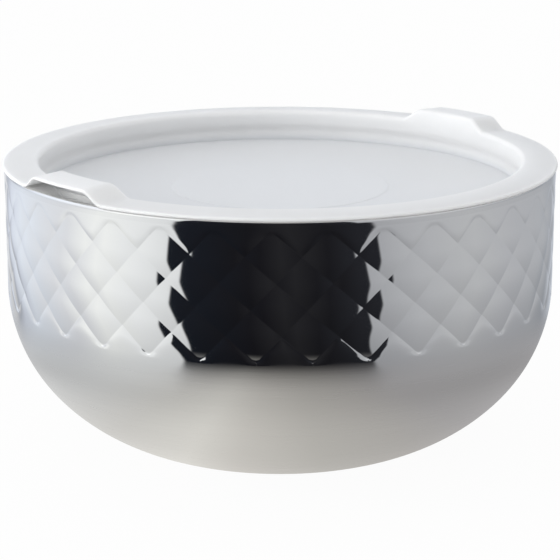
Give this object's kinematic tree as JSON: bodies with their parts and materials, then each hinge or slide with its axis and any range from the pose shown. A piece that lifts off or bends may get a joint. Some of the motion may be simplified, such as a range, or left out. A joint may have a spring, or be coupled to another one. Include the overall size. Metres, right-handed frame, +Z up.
{
  "type": "insulated bowl with lid",
  "caption": "Round double-wall stainless serving bowl with a diamond-quilted upper wall, a satin lower bowl and a white plug-in lid with two raised lift tabs.",
  "frame": {"origin": "on the table under the centre of the bowl's foot", "axes": "+Z up along the bowl's axis; the lid's two lift tabs lie on +X and -X; the picture looks from between -X and -Y"},
  "size_m": [0.254, 0.254, 0.1398],
  "materials": {
    "outer_steel": "mirror polish on the quilted band, fine satin brush below",
    "liner_steel": "satin inside, polished rim",
    "foil": "bright foil",
    "seal_glass": "fused bead",
    "getter_metal": "matt sintered",
    "clip_steel": "plain strip",
    "cover_steel": "satin",
    "lid_plastic": "soft white, faintly translucent",
    "seal_silicone": "soft silicone"
  },
  "bodies": {
    "bowl": {"outer_shell": "outer_steel", "inner_liner": "liner_steel", "reflective_foil": "foil", "vacuum_seal": "seal_glass", "getter": "getter_metal", "getter_clip": "clip_steel", "base_cover": "cover_steel"},
    "lid": {"lid_panel": "lid_plastic", "lid_rim": "lid_plastic", "lift_tab_right": "lid_plastic", "lift_tab_left": "lid_plastic", "lid_seal": "seal_silicone"}
  },
  "joints": [
    {"name": "lid_lift", "type": "slide", "parent": "bowl", "child": "lid", "axis": [0, 0, 1], "range_m": [0, 0.1]}
  ]
}
